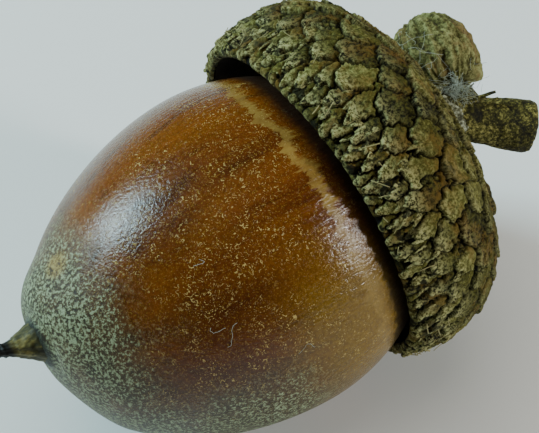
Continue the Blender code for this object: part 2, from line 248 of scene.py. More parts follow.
class Look:
    """A material and the few kinds of node that this script puts into it."""

    def __init__(self, name, roughness=0.6, **fixed):
        self.material = bpy.data.materials.new(name)
        self.material.use_nodes = True
        self.tree = self.material.node_tree
        self.shader = self.tree.nodes["Principled BSDF"]
        self.shader.inputs["Roughness"].default_value = roughness
        for socket, value in fixed.items():
            self.shader.inputs[socket.replace("_", " ")].default_value = value

    def node(self, kind, settings, values, output=0):
        made = self.tree.nodes.new(kind)
        for name, value in settings.items():
            if name == "stops":
                self.set_stops(made.color_ramp, value)
            else:
                setattr(made, name, value)
        for name, value in values.items():
            if isinstance(value, Socket):
                self.tree.links.new(value.link, made.inputs[name])
            else:
                made.inputs[name].default_value = value
        return Socket(self, made.outputs[output])

    @staticmethod
    def set_stops(ramp, stops):
        while len(ramp.elements) < len(stops):
            ramp.elements.new(1.0)
        for element, (place, colour) in zip(ramp.elements, stops):
            element.position = place
            element.color = (*colour, 1)

    def attribute(self, name):
        return self.node("ShaderNodeAttribute", {"attribute_name": name}, {}, "Fac")

    def own_place(self, turned=None, stretch=(1, 1, 1)):
        """Object coordinates, brought back to the piece's upright frame and stretched."""
        place = self.node("ShaderNodeTexCoord", {}, {}, "Object")
        if turned is not None:
            back = turned.inverted()
            place = self.node("ShaderNodeMapping", {"vector_type": "POINT"}, {
                "Vector": place, "Location": back.translation, "Rotation": back.to_euler(),
            })
        return self.node("ShaderNodeMapping", {"vector_type": "POINT"}, {
            "Vector": place, "Scale": stretch,
        })

    def noise(self, place, scale, detail=3.0, roughness=0.55, distortion=0.0):
        return self.node("ShaderNodeTexNoise", {}, {
            "Vector": place, "Scale": scale, "Detail": detail, "Roughness": roughness,
            "Distortion": distortion,
        })

    def parts(self, place):
        """The X, Y and Z of a place."""
        return [self.node("ShaderNodeSeparateXYZ", {}, {"Vector": place}, axis) for axis in "XYZ"]

    def step(self, value, low, high, bottom=0.0, top=1.0):
        """A soft step of a value from low to high."""
        return self.node("ShaderNodeMapRange", {"interpolation_type": "SMOOTHSTEP"}, {
            "Value": value, "From Min": low, "From Max": high, "To Min": bottom, "To Max": top,
        })

    def mix(self, share, first, second, blend="MIX"):
        """The first colour, going over to the second as the share goes from 0 to 1."""
        first, second = [(*c, 1) if isinstance(c, tuple) else c for c in (first, second)]
        settings = {"data_type": "RGBA", "blend_type": blend}
        return self.node("ShaderNodeMix", settings, {0: share, 6: first, 7: second}, 2)

    def ramp(self, value, stops):
        return self.node("ShaderNodeValToRGB", {"stops": stops}, {"Fac": value}, "Color")

    def set(self, socket, value):
        self.tree.links.new(value.link, self.shader.inputs[socket])

    def relief(self, height, depth, strength=1.0):
        """Bumps of a height from 0 to 1 that stands for a depth in metres."""
        values = {"Height": height, "Distance": depth, "Strength": strength}
        self.set("Normal", self.node("ShaderNodeBump", {}, values, "Normal"))


def nut_look():
    look = Look("nut_shell", 0.3, IOR=1.45, Specular_IOR_Level=0.38)
    own = look.own_place(NUT_LAID)
    x, y, z = look.parts(own)
    _, _, up_cup = look.parts(look.own_place(CUP_LAID))
    along = z / MM
    below = x / MM
    ahead = up_cup / MM
    streak = look.noise(look.own_place(NUT_LAID, (1, 1, 0.06)), 1100, 4, 0.6)
    strokes = look.noise(look.own_place(NUT_LAID, (1, 1, 0.13)), 4600, 3, 0.6)
    stroked = look.step(along, -4.0, 1.5)
    broad = look.noise(look.own_place(NUT_LAID, (1, 1, 0.22)), 200, 3, 0.55)
    grain = look.noise(own, 5400, 3, 0.6)
    wander = look.noise(own, 300, 4, 0.65)
    brown = look.ramp(broad, [
        (0.32, (0.036, 0.0080, 0.0008)),
        (0.47, (0.112, 0.0270, 0.0032)),
        (0.68, (0.205, 0.0590, 0.0062)),
    ])
    brown = look.mix(look.step(streak, 0.42, 0.70, 0.0, 0.55), brown, (0.165, 0.052, 0.0030))
    brown = look.mix(look.step(streak, 0.46, 0.30, 0.0, 0.55), brown, (0.022, 0.0050, 0.0003))
    low = look.step(y * -1.0 / MM + wander * 3.0, 6.5, 10.5)
    back = look.step(along + wander * 3.0, -4.0, 2.5)
    brown = look.mix(low * back * 0.9, brown, (0.172, 0.095, 0.0040))
    # Painted shade: the lower middle of the nut is painted darker.
    low_side_shade = look.step(y * -1.0 / MM + wander * 3.0, 5.0, 8.5) * look.step(along + wander * 4.0, 1.5, -3.5)
    brown = look.mix(low_side_shade * 0.55, brown, (0.036, 0.0085, 0.0012))
    brown = look.mix(look.step(grain, 0.60, 0.36) * 0.3, brown, (0.022, 0.0060, 0.0004))
    jag = look.noise(look.own_place(NUT_LAID, (1, 1, 0.22)), 800, 5, 0.75) * 3.6
    band = look.step(ahead + jag, -0.10, 0.08) * look.step(ahead + jag, 0.95, 0.40)
    # The zone where the nut runs in under the cup's lip, for painted shade.
    under_lip_shade = look.step(ahead + jag * 0.4, -0.3, 0.9)
    fleck_field = look.noise(own, 5000, 2, 0.5, 1.8)
    fleck_spread = look.step(look.noise(own, 380, 4, 0.7), 0.42, 0.60)
    fleck = look.step(fleck_field, 0.612, 0.650) * (fleck_spread * 0.85 + 0.15)
    speck = look.step(look.noise(own, 11000, 2, 0.6), 0.57, 0.66) * 0.55
    tip = look.step(wander * 7.0 - along, 10.5, 17.5)
    side = look.step(below + wander * 7.0, 0.6, 6.4) * look.step(along, 2.0, -3.0) * 0.78
    bloom = tip.at_least(side)
    down = look.noise(own, 5400, 4, 0.75)
    dust = look.step(down + bloom * 0.11, 0.57, 0.67)
    pits = look.step(down, 0.47, 0.39)
    colour = look.mix(speck, brown, (0.25, 0.145, 0.020))
    colour = look.mix(fleck * 0.9, colour, (0.50, 0.365, 0.115))
    colour = look.mix(band * (streak * 1.3) * (1.0 - low * 0.5), colour, (0.285, 0.182, 0.040))
    # Painted shade: near-black under the cup's lip, laid over the darker shell that the cup covers.
    colour = look.mix(under_lip_shade * 0.92, colour, (0.010, 0.0030, 0.0006))
    colour = look.mix(bloom * 0.85, colour, (0.033, 0.033, 0.011))
    colour = look.mix(pits * bloom * 0.8, colour, (0.007, 0.006, 0.002))
    colour = look.mix(dust * look.step(bloom, 0.0, 0.6) * 0.9, colour, (0.300, 0.355, 0.205))
    at_x, at_y, at_z = STAIN_PLACE
    apart = (below - at_x) ** 2 + (y / MM - at_y) ** 2 + (along - at_z) ** 2
    stain = look.step(apart + wander * 1.2, 1.9, 0.8) * look.step(down, 0.40, 0.56)
    colour = look.mix(stain * 0.7, colour, (0.340, 0.225, 0.040))
    # Painted shade: a dark ring round the root of the beak, in the crease where it meets the nut.
    colour = look.mix(look.step(along, -12.80, -13.15) * 0.9, colour, (0.008, 0.012, 0.010))
    look.set("Base Color", colour)
    polish = look.step(grain, 0.2, 0.8, 0.13, 0.27) - stroked * 0.05
    look.set("Roughness", polish + bloom * 0.35 + band * 0.08 + under_lip_shade * 0.4)
    height = strokes * (stroked * 1.5 + 0.3) + grain + fleck * 0.3 + down * bloom * 1.8
    look.relief(height, 0.032 * MM)
    return look.material


def beak_look():
    look = Look("nut_beak", 0.6, Specular_IOR_Level=0.3)
    own = look.own_place(NUT_LAID)
    _, _, z = look.parts(own)
    along = z / MM
    streak = look.noise(look.own_place(NUT_LAID, (1, 1, 0.25)), 2400, 4, 0.65)
    horn = look.ramp(streak, [
        (0.32, (0.012, 0.011, 0.003)), (0.50, (0.055, 0.050, 0.014)), (0.66, (0.210, 0.175, 0.050)),
    ])
    end = look.step(along * -1.0, 14.25, 14.75)
    root = look.step(along, -13.5, -12.7)
    colour = look.mix(end, horn, (0.006, 0.005, 0.003))
    # Painted shade: the root of the beak is painted dark, as the shade in the crease round it.
    colour = look.mix(root * 0.9, colour, (0.010, 0.014, 0.012))
    look.set("Base Color", colour)
    look.relief(streak, 0.06 * MM, 0.9)
    return look.material


def scale_look():
    look = Look("cup_scales", 0.8, Specular_IOR_Level=0.15)
    own = look.own_place()
    _, _, up = look.parts(look.own_place(CUP_LAID))
    lip = look.step(up / MM, 4.2, 1.2)
    crack = look.attribute("crack")
    tone = look.attribute("tone")
    tip = look.attribute("tip")
    grain = look.noise(own, 5200, 5, 0.8)
    fibre = look.noise(own, 1900, 5, 0.75, 0.8)
    patch = look.noise(own, 240, 3, 0.6)
    body = look.ramp(tone * 0.13 + fibre * 0.33 + grain * 0.54, [
        (0.38, (0.004, 0.0035, 0.0006)), (0.44, (0.034, 0.032, 0.0045)),
        (0.54, (0.096, 0.088, 0.0135)), (0.65, (0.310, 0.300, 0.1000)),
    ])
    rust = look.step(look.noise(own, 480, 4, 0.7), 0.47, 0.62) * look.step(grain, 0.36, 0.56)
    body = look.mix(rust * 0.7, body, (0.155, 0.080, 0.0120))
    cream = (tip * (lip * 1.6 + 0.6)).at_most(1.0)
    body = look.mix(cream * look.step(grain, 0.44, 0.56) * 0.85, body, (0.440, 0.420, 0.185))
    # Painted shade: near-black patches near the lip, standing for the shade in the gaps between the
    # splinters.
    lip_gap_shade = look.step(look.noise(own, 1300, 3, 0.6), 0.46, 0.38) * lip
    body = look.mix(lip_gap_shade * 0.85, body, (0.004, 0.0035, 0.001))
    mould = look.step(patch, 0.60, 0.67) * look.step(fibre, 0.40, 0.55)
    body = look.mix(mould * 0.75, body, (0.010, 0.017, 0.013))
    # Painted shade: the cracks and low places between the scales are painted near-black.
    colour = look.mix(crack, body, (0.003, 0.0025, 0.001))
    look.set("Base Color", colour)
    look.relief(grain * 0.8 + fibre * 0.4, 0.13 * MM)
    return look.material


def lining_look():
    look = Look("cup_lining", 0.95)
    grain = look.noise(look.own_place(), 2400, 4, 0.7)
    look.set("Base Color", look.ramp(grain, [(0.3, (0.010, 0.007, 0.004)), (0.7, (0.055, 0.040, 0.022))]))
    look.relief(grain, 0.05 * MM)
    return look.material


def bark_look():
    look = Look("stalk_bark", 0.75, Specular_IOR_Level=0.25)
    own = look.own_place()
    grain = look.noise(own, 5200, 5, 0.75)
    patch = look.noise(own, 620, 4, 0.65)
    colour = look.ramp(grain * 0.62 + patch * 0.42, [
        (0.41, (0.004, 0.0035, 0.0006)), (0.49, (0.022, 0.019, 0.0020)),
        (0.54, (0.074, 0.068, 0.0095)), (0.63, (0.330, 0.290, 0.0850)),
    ])
    look.set("Base Color", colour)
    look.relief(grain * 0.7 + patch * 0.4, 0.12 * MM)
    return look.material


def young_look():
    look = Look("young_scales", 0.85, Specular_IOR_Level=0.25)
    own = look.own_place()
    fold = look.attribute("fold")
    grain = look.noise(own, 3800, 5, 0.75)
    rust = look.step(look.noise(own, 480, 4, 0.65), 0.48, 0.62)
    # Painted shade and light: the bud is coloured darker in its creases and lighter on its ridges, by the
    # height of its folds.
    colour = look.ramp(fold * 0.20 + grain * 0.76, [
        (0.36, (0.018, 0.015, 0.0035)), (0.46, (0.088, 0.082, 0.0180)), (0.60, (0.290, 0.290, 0.1100)),
    ])
    colour = look.mix(rust * 0.75 * look.step(grain, 0.36, 0.52), colour, (0.200, 0.128, 0.0420))
    look.set("Base Color", colour)
    look.relief(grain, 0.12 * MM)
    return look.material


def down_look():
    """Thin pale skin."""
    look = Look("pale_skin", 0.9)
    grain = look.noise(look.own_place(), 4200, 4, 0.7)
    look.set("Base Color", look.ramp(grain, [
        (0.38, (0.030, 0.028, 0.010)), (0.50, (0.120, 0.118, 0.060)), (0.64, (0.36, 0.38, 0.28)),
    ]))
    return look.material


def plain_look(name, colour, roughness):
    """One even colour."""
    look = Look(name, roughness)
    look.shader.inputs["Base Color"].default_value = (*colour, 1)
    return look.material


# Shapes.

def add_piece(name, work, material, node, turn=None):
    """A finished piece of the acorn from a working mesh, laid down by the turn."""
    if turn is not None:
        bmesh.ops.transform(work, matrix=turn, verts=work.verts)
    mesh = bpy.data.meshes.new(name)
    work.to_mesh(mesh)
    work.free()
    mesh.shade_smooth()
    mesh.materials.append(material)
    obj = bpy.data.objects.new(name, mesh)
    bpy.context.scene.collection.objects.link(obj)
    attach(obj, "root")
    if node:
        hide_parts(node)


def spun(profile, steps):
    """A closed skin from a (radius, height) profile that is turned once about Z."""
    work = bmesh.new()
    verts = [work.verts.new((radius, 0, height)) for radius, height in profile]
    edges = [work.edges.new(pair) for pair in zip(verts, verts[1:])]
    bmesh.ops.spin(
        work, geom=verts + edges, cent=(0, 0, 0), axis=(0, 0, 1), angle=FULL_TURN,
        steps=steps, use_merge=True,
    )
    bmesh.ops.remove_doubles(work, verts=work.verts, dist=MERGE_REACH)
    bmesh.ops.recalc_face_normals(work, faces=work.faces)
    return work


def even_profile(points, spacing):
    """The same outline with its points an even length apart."""
    lengths = np.concatenate([[0], np.cumsum(np.hypot(*np.diff(points, axis=0).T))])
    wanted = np.linspace(0, lengths[-1], max(2, round(lengths[-1] / spacing)) + 1)
    return np.column_stack([
        np.interp(wanted, lengths, [point[k] for point in points]) for k in (0, 1)
    ])


def nut_skin():
    """The nut's outline from the scar to the root of the beak."""
    scar_share = math.sqrt(1 - (NUT_SCAR_RADIUS / NUT_RADIUS) ** 2)
    points = [(0, scar_share * NUT_BACK)]
    for k in range(400):
        turn = math.acos(NUT_SCAR_RADIUS / NUT_RADIUS) * (1 - k / 400)
        points.append((NUT_RADIUS * math.cos(turn), NUT_BACK * math.sin(turn)))
    for k in range(800):
        share = 1 - (1 - k / 800) ** 2
        points.append((NUT_RADIUS * superellipse(share, NUT_NOSE_POWER), -share * NUT_FRONT))
    points.append((0, -NUT_FRONT))
    return points


def bent_like_the_nut(work):
    """Leans the nose and the beak over, as the part does."""
    for vert in work.verts:
        share = max(0.0, -vert.co.z / NUT_FRONT)
        sag = NOSE_SAG * smooth(share / NOSE_SAG_ENDS)
        lift = smooth((share - NOSE_LIFT_STARTS) / (1 - NOSE_LIFT_STARTS)) * (1 + NOSE_SAG)
        beyond = max(0.0, BEAK_LEAN_STARTS - vert.co.z - NUT_FRONT)
        vert.co += NOSE_SHIFT * (lift - sag) + BEAK_LEAN * beyond


def make_nut(material):
    work = spun(even_profile(nut_skin(), 0.22 * MM), 260)
    for vert in work.verts:
        angle = math.atan2(vert.co.y, vert.co.x)
        reach = math.hypot(vert.co.x, vert.co.y)
        around = Vector((math.cos(angle) * 2.1, math.sin(angle) * 2.1, vert.co.z / MM * 0.05))
        wave = noise.noise(around)
        out = (0.05 * wave - 0.03) * MM * smooth(reach / (2 * MM))
        if reach > 0:
            vert.co.x *= 1 + out / reach
            vert.co.y *= 1 + out / reach
        groove = math.exp(-((reach / MM - 1.75) / 0.42) ** 2)
        vert.co.z += 0.22 * MM * groove * smooth(-vert.co.z / NUT_FRONT * 2 - 1)
    bent_like_the_nut(work)
    bmesh.ops.transform(work, matrix=NUT_LAID, verts=work.verts)
    for vert in work.verts:
        vert.co.z = max(vert.co.z, 0.0)
    add_piece("nut_skin", work, material, "nut")


def make_beak(material):
    start = 0.25 * MM - NUT_FRONT
    points = [(BEAK_RADIUS * 1.25, start + 0.4 * MM)]
    for k in range(101):
        share = k / 100
        radius = BEAK_END_RADIUS + (BEAK_RADIUS - BEAK_END_RADIUS) * (1 - share) ** 1.7
        knob = 0.18 * math.exp(-((share - 0.80) / 0.035) ** 2)
        knob += 0.10 * math.exp(-((share - 0.93) / 0.03) ** 2)
        radius = radius * (1 + knob) - 0.06 * MM * (share > 0.5)
        points.append((radius, start - share * BEAK_LENGTH))
    points.append((0, start - BEAK_LENGTH - 0.12 * MM))
    work = spun(even_profile(points, 0.07 * MM), 72)
    for vert in work.verts:
        angle = math.atan2(vert.co.y, vert.co.x)
        around = Vector((math.cos(angle) * 3, math.sin(angle) * 3, vert.co.z / MM * 0.8))
        depth = 0.10 * noise.noise(around)
        depth += 0.05 * noise.noise(vert.co / MM * 5)
        vert.co.x *= 1 + depth
        vert.co.y *= 1 + depth
    bent_like_the_nut(work)
    add_piece("nut_beak", work, material, "nut", NUT_LAID)


def cup_outline(height):
    if height < CUP_BELLY:
        drop = (CUP_BELLY - height) / CUP_BELLY
        return CUP_RADIUS - (CUP_RADIUS - CUP_LIP_RADIUS) * drop ** CUP_LIP_POWER
    return CUP_RADIUS * superellipse((height - CUP_BELLY) / (CUP_HEIGHT - CUP_BELLY), CUP_DOME_POWER)


def lip_growth(angle, height):
    """How far the lip, where it is whole, reaches past the worn lip."""
    whole = smooth((math.cos(angle - LIP_WHOLE_ANGLE) + 0.1) / 0.7)
    return -LIP_WHOLE_GAIN * LIP_WEAR * whole * (1 - smooth(height / CUP_BELLY))


def cup_bore(height):
    if height < CUP_BELLY:
        return CUP_MOUTH_RADIUS + (CUP_BORE_RADIUS - CUP_MOUTH_RADIUS) * smooth(height / CUP_BELLY)
    return CUP_BORE_RADIUS * superellipse((height - CUP_BELLY) / (CUP_DEPTH - CUP_BELLY), CUP_BORE_POWER)


def cup_meridian():
    """The cup's outline from the stalk's seat, over dome and flank, to the inner edge of the lip."""
    points = [(0, CUP_HEIGHT + 0.3 * MM), (BOSS_RADIUS * 0.75, CUP_HEIGHT + 0.3 * MM)]
    for k in range(1, 900):
        share = math.sin(k / 900 * math.pi / 2)
        height = CUP_BELLY + (CUP_HEIGHT - CUP_BELLY) * superellipse(share, CUP_DOME_POWER)
        radius = CUP_RADIUS * share
        if radius > BOSS_RADIUS * 0.9:
            points.append((radius, height))
    for k in range(301):
        height = CUP_BELLY + (LIP_WEAR - CUP_BELLY) * k / 300
        points.append((cup_outline(height), height))
    middle = (cup_outline(LIP_WEAR) + CUP_MOUTH_RADIUS) / 2
    half = (cup_outline(LIP_WEAR) - CUP_MOUTH_RADIUS) / 2
    for k in range(1, 40):
        turn = k / 40 * math.pi
        points.append((middle + half * math.cos(turn), LIP_WEAR - 0.25 * MM * math.sin(turn)))
    return points


def scale_size(share):
    """The pitch of the scales by the share of the way from the stalk to the lip."""
    size = SCALE_PITCH_TOP
    size += (SCALE_PITCH_FLANK - SCALE_PITCH_TOP) * smooth(share / SCALE_FLANK_STARTS)
    return size + (SCALE_PITCH_LIP - size) * smooth((share - SCALE_LIP_STARTS) / 0.33)


def plant_scales(radii, lengths, seed):
    """Where the scales grow: (length down the cup, angle, width, reach, turn, rise, tone) of each."""
    rng = random.Random(seed)
    total = lengths[-1]
    places = []
    owed = 0.0
    for k in range(1, len(radii)):
        size = scale_size(lengths[k] / total)
        owed += FULL_TURN * radii[k] * (lengths[k] - lengths[k - 1]) / (size * size)
        while owed >= 1:
            owed -= 1
            angle = len(places) * GOLDEN_ANGLE + rng.uniform(-0.14, 0.14) * size / radii[k]
            share = lengths[k] / total
            tall = 1.0 + 0.85 * smooth((share - SCALE_LIP_STARTS) / 0.3)
            slim = 1 - 0.42 * smooth((share - 0.66) / 0.25)
            down = lengths[k] + rng.uniform(-0.15, 0.15) * size
            width = size * rng.uniform(0.66, 0.88) * slim
            reach = size * tall * rng.uniform(0.80, 1.04)
            turn = rng.uniform(-0.3, 0.3)
            rise = rng.uniform(0.86, 1.12)
            places.append((down, angle, width, reach, turn, rise, rng.random()))
    return places


def rough(u, v, seed, size):
    """A cheap smooth roughness of two arrays, about -1 to 1, from a few crossed waves."""
    rng = random.Random(seed)
    total = 0
    for _ in range(WAVE_COUNT):
        turn = rng.uniform(0, FULL_TURN)
        pitch = size * rng.uniform(0.5, 1.6)
        ahead = u * math.cos(turn) + v * math.sin(turn)
        total = total + np.sin(ahead / pitch * FULL_TURN + rng.uniform(0, 9))
    return total / (WAVE_COUNT / 2)


def scale_relief(profile, steps):
    """Height, painted crack shade, tip and tone of every point of the cup's grid, from overlapping
    scales.
    """
    radii, heights = profile.T
    lengths = np.concatenate([[0], np.cumsum(np.hypot(np.diff(radii), np.diff(heights)))])
    level = np.zeros((len(radii), steps))
    tone = np.zeros_like(level)
    tips = np.zeros_like(level)
    owner = np.zeros(level.shape, int) - 1
    end = lengths[-1]
    scales = plant_scales(radii, lengths, SCALE_SEED)
    for index, (s0, a0, width, reach, turn, rise, shade) in enumerate(scales):
        rows = np.where(np.abs(lengths - s0) < 1.5 * reach)[0]
        radius = np.interp(s0, lengths, radii)
        span = min(math.pi, 2.2 * reach / max(radius, 0.3 * MM))
        first = math.floor((a0 - span) / FULL_TURN * steps)
        last = math.ceil((a0 + span) / FULL_TURN * steps)
        columns = np.arange(first, last)
        offset = columns / steps * FULL_TURN - a0
        u = offset[None, :] * radii[rows][:, None]
        v = np.repeat((lengths[rows] - s0)[:, None], len(columns), axis=1)
        cos, sin = math.cos(turn), math.sin(turn)
        u, v = u * cos + v * sin, v * cos - u * sin
        wobble = rough(u, v, index, 0.8 * MM)
        fine = rough(u, v, index + 900, 0.33 * MM)
        along = v / reach
        lipward = smooth((s0 / end - 0.60) / 0.25)
        narrow = 1 - (0.22 + 0.25 * lipward) * np.clip(along, 0, 1) ** 1.5
        across = u / (width * narrow) * (1 + 0.10 * wobble + 0.04 * fine)
        down = along * (1 + 0.08 * wobble + 0.05 * fine)
        inside = (np.abs(across) ** 2.8 + np.abs(down) ** (2.8 - 1.0 * lipward)) ** (1 / 2.6)
        plate = 0.36 + 0.40 * (along * 0.5 + 0.5) + 0.16 * lipward * along
        plate -= (0.10 + 0.18 * lipward) * across ** 2 + 0.06 * wobble + (0.03 + 0.05 * lipward) * fine
        plate += 0.22 * lipward * np.exp(-(across / 0.35) ** 2) * np.clip(along, 0, 1)
        plate += 0.10 * np.exp(-((inside - 0.86) / 0.10) ** 2) * (along > 0)
        height = plate * rise * eased(1.0, 0.94, inside)
        columns = columns % steps
        there = np.ix_(rows, columns)
        wins = (height > level[there]) & (inside < 1.0)
        level[there] = np.where(wins, height, level[there])
        tone[there] = np.where(wins, shade, tone[there])
        ending = np.clip(along, 0, 1) ** 2 * np.clip(plate * 1.3, 0, 1)
        tips[there] = np.where(wins, ending, tips[there])
        owner[there] = np.where(wins, index, owner[there])
    border = owner < 0
    border |= owner != np.roll(owner, 1, axis=1)
    border |= owner != np.roll(owner, 1, axis=0)
    border[0] = False
    groove = softened(border.astype(float))
    lipward = eased(SCALE_LIP_STARTS, SCALE_LIP_ENDS, lengths / end)[:, None]
    level = level - (0.30 + 0.45 * lipward) * groove
    # Painted shade: near-black in the grooves between the scales and wherever the relief lies low.
    crack = np.clip(eased(0.15, 0.58, groove) + eased(0.14, 0.0, level), 0, 1)
    return level, crack, tips, tone, lengths


def softened(field):
    """A field averaged a little with its neighbours, round the cup and along it."""
    field = (np.roll(field, 1, axis=1) + 8 * field + np.roll(field, -1, axis=1)) / 10
    padded = np.concatenate([field[:1], field, field[-1:]])
    return (padded[:-2] + 8 * padded[1:-1] + padded[2:]) / 10


def make_cup(material):
    """The outside of the cup in two bands, each a grid that is rolled up and raised into scales."""
    profile = even_profile(cup_meridian(), CUP_SPACING)
    level, crack, tips, tone, lengths = scale_relief(profile, CUP_STEPS)
    slope = np.gradient(profile, axis=0)
    slope /= np.linalg.norm(slope, axis=1)[:, None]
    outward = np.column_stack([-slope[:, 1], slope[:, 0]])
    share = lengths / lengths[-1]
    shallow = 1 - 0.45 * eased(SCALE_LIP_STARTS, SCALE_LIP_ENDS, share)
    depth = (0.42 + 0.30 * eased(0.0, 0.25, share)) * shallow * MM
    fade = eased(1.0, 0.94, share) * eased(0.0, 0.05, share)
    lift = -depth[:, None] * (0.92 - level) * fade[:, None]
    meet = int(len(profile) * CUP_BANDS_MEET)
    for name, first, last in (("cup_dome", 0, meet), ("cup_flank", meet, len(profile) - 1)):
        rows = last - first
        work = bmesh.new()
        bmesh.ops.create_grid(work, x_segments=CUP_STEPS, y_segments=rows, size=0.5)
        layers = [work.verts.layers.float.new(key) for key in ("crack", "tip", "tone")]
        for vert in work.verts:
            row = first + round((vert.co.y + 0.5) * rows)
            column = round((vert.co.x + 0.5) * CUP_STEPS) % CUP_STEPS
            angle = column / CUP_STEPS * FULL_TURN
            round_it = Vector((math.cos(angle), math.sin(angle), 0))
            spot = (round_it * profile[row][0] + Vector((0, 0, profile[row][1]))) / MM
            grit = noise.noise(spot * 1.9) * 0.4 + noise.noise(spot * 7.3) * 0.45
            move = lift[row, column] + grit * CUP_GRIT * fade[row]
            vert.co = round_it * (profile[row][0] + outward[row][0] * move)
            vert.co.z = profile[row][1] + outward[row][1] * move + lip_growth(angle, profile[row][1])
            for layer, field in zip(layers, (crack, tips, tone)):
                vert[layer] = field[row, column]
        bmesh.ops.transform(work, matrix=CUP_LAID, verts=work.verts)
        for vert in work.verts:
            vert.co.z = max(vert.co.z, 0.0)
        bmesh.ops.remove_doubles(work, verts=work.verts, dist=MERGE_REACH)
        bmesh.ops.recalc_face_normals(work, faces=work.faces)
        add_piece(name, work, material, "cup")


def make_splinters(material):
    """Loose tongues of scale that stand up along the lip, each a flattened spike."""
    rng = random.Random(SPLINTER_SEED)
    work = bmesh.new()
    for _ in range(SPLINTER_COUNT):
        height = LIP_WEAR + (0.35 + abs(rng.gauss(0, 1.0))) * MM
        angle = rng.uniform(0, FULL_TURN)
        length = rng.uniform(0.5, 1.0) * MM
        wide = rng.uniform(0.18, 0.36) * MM
        radius = cup_outline(min(height, CUP_BELLY)) - rng.uniform(0.10, 0.35) * MM
        turn = Matrix.Rotation(angle, 4, "Z")
        turn = turn @ Matrix.Translation((radius, 0, height + lip_growth(angle, height)))
        turn = turn @ Matrix.Rotation(math.pi - rng.uniform(-0.02, 0.22), 4, "Y")
        turn = turn @ Matrix.Rotation(rng.uniform(-0.5, 0.5), 4, "X")
        turn = turn @ Matrix.Rotation(rng.uniform(-0.6, 0.6), 4, "Z")
        turn = turn @ Matrix.Diagonal((0.35, 1, 1, 1))
        made = bmesh.ops.create_cone(
            work, segments=6, radius1=wide, radius2=wide * 0.18, depth=length,
            cap_ends=True, matrix=turn,
        )["verts"]
        for vert in made:
            vert.co += noise.noise_vector(vert.co / MM * 2.5) * 0.10 * MM
        if min((CUP_LAID @ vert.co).z for vert in made) < 0:
            bmesh.ops.delete(work, geom=made, context="VERTS")
    tone = work.verts.layers.float.new("tone")
    tip = work.verts.layers.float.new("tip")
    work.verts.layers.float.new("crack")
    for vert in work.verts:
        vert[tone] = 0.5 + 0.5 * noise.noise(vert.co / MM * 1.7)
        vert[tip] = 0.5
    bmesh.ops.recalc_face_normals(work, faces=work.faces)
    add_piece("cup_splinters", work, material, "cup", CUP_LAID)


def make_fibres(material):
    """Pale fibres and straws caught among the scales, most of them near the lip."""
    rng = random.Random(FIBRE_SEED)
    work = bmesh.new()
    last = FIBRE_POINTS - 1
    for _ in range(FIBRE_COUNT):
        height = LIP_WEAR + abs(rng.gauss(0.2, 1.3)) * MM
        angle = rng.uniform(0, FULL_TURN)
        heading = rng.uniform(0, FULL_TURN)
        length = rng.uniform(0.3, 1.0) * MM
        line = []
        for j in range(FIBRE_POINTS):
            t = (j / last - 0.5) * length
            up = min(CUP_HEIGHT * 0.9, max(LIP_WEAR * 0.6, height + t * math.cos(heading)))
            turn = angle + t * math.sin(heading) / CUP_RADIUS
            radius = cup_outline(up) + (0.02 + 0.16 * (j / last) ** 2) * MM
            line.append(Vector((math.cos(turn) * radius, math.sin(turn) * radius, up)))
        thick = rng.uniform(0.018, 0.034) * MM
        if min((CUP_LAID @ place).z for place in line) > thick:
            tube(work, line, [thick] * FIBRE_POINTS, 5)
    bmesh.ops.recalc_face_normals(work, faces=work.faces)
    add_piece("cup_fibres", work, material, "cup", CUP_LAID)


def make_lining(material):
    """The inside of the cup, which faces the nut."""
    points = [(cup_bore(CUP_DEPTH * k / 60), CUP_DEPTH * k / 60) for k in range(60)]
    points = [point for point in points if point[1] > LIP_WEAR] + [(0, CUP_DEPTH)]
    work = spun(points, 160)
    for vert in work.verts:
        vert.co.z += lip_growth(math.atan2(vert.co.y, vert.co.x), vert.co.z)
    bmesh.ops.reverse_faces(work, faces=work.faces)
    add_piece("cup_lining", work, material, "cup", CUP_LAID)


def tube(work, points, radii, sides):
    """A round bar through the points, made of rings joined one to the next and capped."""
    rings = []
    before = None
    for k, place in enumerate(points):
        ahead = (points[min(k + 1, len(points) - 1)] - points[max(k - 1, 0)]).normalized()
        if before is None:
            turn = ahead.to_track_quat("Z", "Y")
        else:
            turn = before.rotation_difference(ahead) @ turn
        before = ahead
        matrix = Matrix.Translation(place) @ turn.to_matrix().to_4x4()
        rings.append(bmesh.ops.create_circle(
            work, cap_ends=False, segments=sides, radius=radii[k], matrix=matrix,
        )["verts"])
    for pair in zip(rings, rings[1:]):
        edges = set()
        for ring in pair:
            for vert in ring:
                edges.update(edge for edge in vert.link_edges if edge.other_vert(vert) in ring)
        bmesh.ops.bridge_loops(work, edges=list(edges))
    for ring in (rings[0], rings[-1]):
        bmesh.ops.contextual_create(work, geom=ring)


